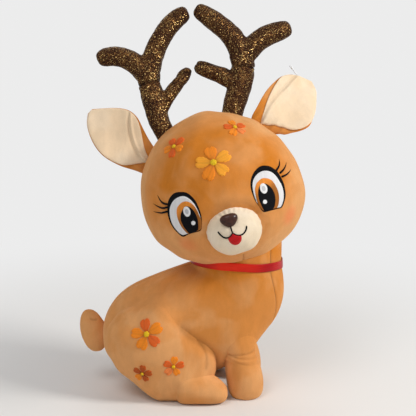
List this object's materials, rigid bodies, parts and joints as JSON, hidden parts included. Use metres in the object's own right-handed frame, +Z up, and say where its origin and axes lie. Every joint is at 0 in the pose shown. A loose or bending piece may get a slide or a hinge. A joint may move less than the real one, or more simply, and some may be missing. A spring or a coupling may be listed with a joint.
{
  "type": "plush deer",
  "caption": "Sitting stuffed deer with a large round head turned to the side, glittered antlers, embroidered eyes and flowers, and a satin neck ribbon.",
  "frame": {"origin": "on the floor under the middle of the seat panel that the toy sits on", "axes": "+Z up and along the tallest extent; +X forward, the way the body points; the face looks towards -Y"},
  "size_m": [0.2963, 0.1892, 0.4619],
  "materials": {
    "caramel_velvet": "short-pile velvet, caramel",
    "cream_velvet": "short-pile velvet, cream",
    "white_filling": "loose polyester fibre filling",
    "glitter_cloth": "dark brown cloth with fine gold glitter",
    "red_satin": "woven satin ribbon, red",
    "brown_nose_cloth": "smooth brown cloth",
    "black_thread": "embroidery thread, black",
    "red_thread": "embroidery thread, red",
    "orange_thread": "embroidery thread, orange",
    "clear_plastic": "thin moulded nylon"
  },
  "bodies": {
    "torso": {"torso_side_near": "caramel_velvet", "torso_side_far": "caramel_velvet", "chest_gusset": "caramel_velvet", "seat_panel": "caramel_velvet", "torso_stuffing": "white_filling", "haunch_near": "caramel_velvet", "haunch_far": "caramel_velvet", "hind_foot_near": "caramel_velvet", "hind_foot_far": "caramel_velvet", "neck_ribbon": "red_satin", "haunch_flower_upper": "orange_thread", "haunch_flower_front": "orange_thread", "haunch_flower_rear": "orange_thread"},
    "head": {"head_skin": "caramel_velvet", "head_stuffing": "white_filling", "muzzle": "cream_velvet", "nose": "brown_nose_cloth", "mouth": "black_thread", "tongue": "red_thread", "eye_left": "black_thread", "eye_right": "black_thread", "head_flower_middle": "orange_thread", "head_flower_left": "orange_thread", "head_flower_right": "orange_thread"},
    "foreleg_near": {"foreleg_near": "caramel_velvet"},
    "foreleg_far": {"foreleg_far": "caramel_velvet"},
    "tail": {"tail": "caramel_velvet"},
    "antler_left": {"antler_beam_left": "glitter_cloth", "antler_fork_left": "glitter_cloth"},
    "antler_right": {"antler_beam_right": "glitter_cloth", "antler_fork_right": "glitter_cloth"},
    "ear_left": {"ear_back_left": "caramel_velvet", "ear_lining_left": "cream_velvet"},
    "ear_right": {"ear_back_right": "caramel_velvet", "ear_lining_right": "cream_velvet", "tag_pin": "clear_plastic"}
  },
  "joints": [
    {"name": "head_turn", "type": "hinge", "parent": "torso", "child": "head", "pos_m": [0.09, 0, 0.16], "axis": [0, 0, 1], "range_deg": [-15, 15], "stiffness_Nm_per_rad": 0.6},
    {"name": "foreleg_near_swing", "type": "hinge", "parent": "torso", "child": "foreleg_near", "pos_m": [0.094, -0.033, 0.06], "axis": [0, 1, 0], "range_deg": [-8, 8], "stiffness_Nm_per_rad": 1.5},
    {"name": "foreleg_far_swing", "type": "hinge", "parent": "torso", "child": "foreleg_far", "pos_m": [0.094, 0.033, 0.06], "axis": [0, 1, 0], "range_deg": [-8, 8], "stiffness_Nm_per_rad": 1.5},
    {"name": "tail_wag", "type": "hinge", "parent": "torso", "child": "tail", "pos_m": [-0.07051, 0, 0.07104], "axis": [0, 0, 1], "range_deg": [-20, 20], "stiffness_Nm_per_rad": 0.02},
    {"name": "antler_left_flex", "type": "hinge", "parent": "head", "child": "antler_left", "pos_m": [0.00702, 0.00841, 0.31068], "axis": [0.9613, 0.062, 0.2686], "range_deg": [-8, 8], "stiffness_Nm_per_rad": 0.6},
    {"name": "antler_right_flex", "type": "hinge", "parent": "head", "child": "antler_right", "pos_m": [0.08414, 0.01398, 0.3348], "axis": [0.9613, 0.062, 0.2686], "range_deg": [-8, 8], "stiffness_Nm_per_rad": 0.6},
    {"name": "ear_left_flex", "type": "hinge", "parent": "head", "child": "ear_left", "pos_m": [-0.01675, -0.0001, 0.27844], "axis": [0.6639, 0.1682, 0.7286], "range_deg": [-20, 20], "stiffness_Nm_per_rad": 0.08},
    {"name": "ear_right_flex", "type": "hinge", "parent": "head", "child": "ear_right", "pos_m": [0.12886, 0.00929, 0.31912], "axis": [0.7478, -0.1494, -0.6469], "range_deg": [-20, 20], "stiffness_Nm_per_rad": 0.08}
  ]
}
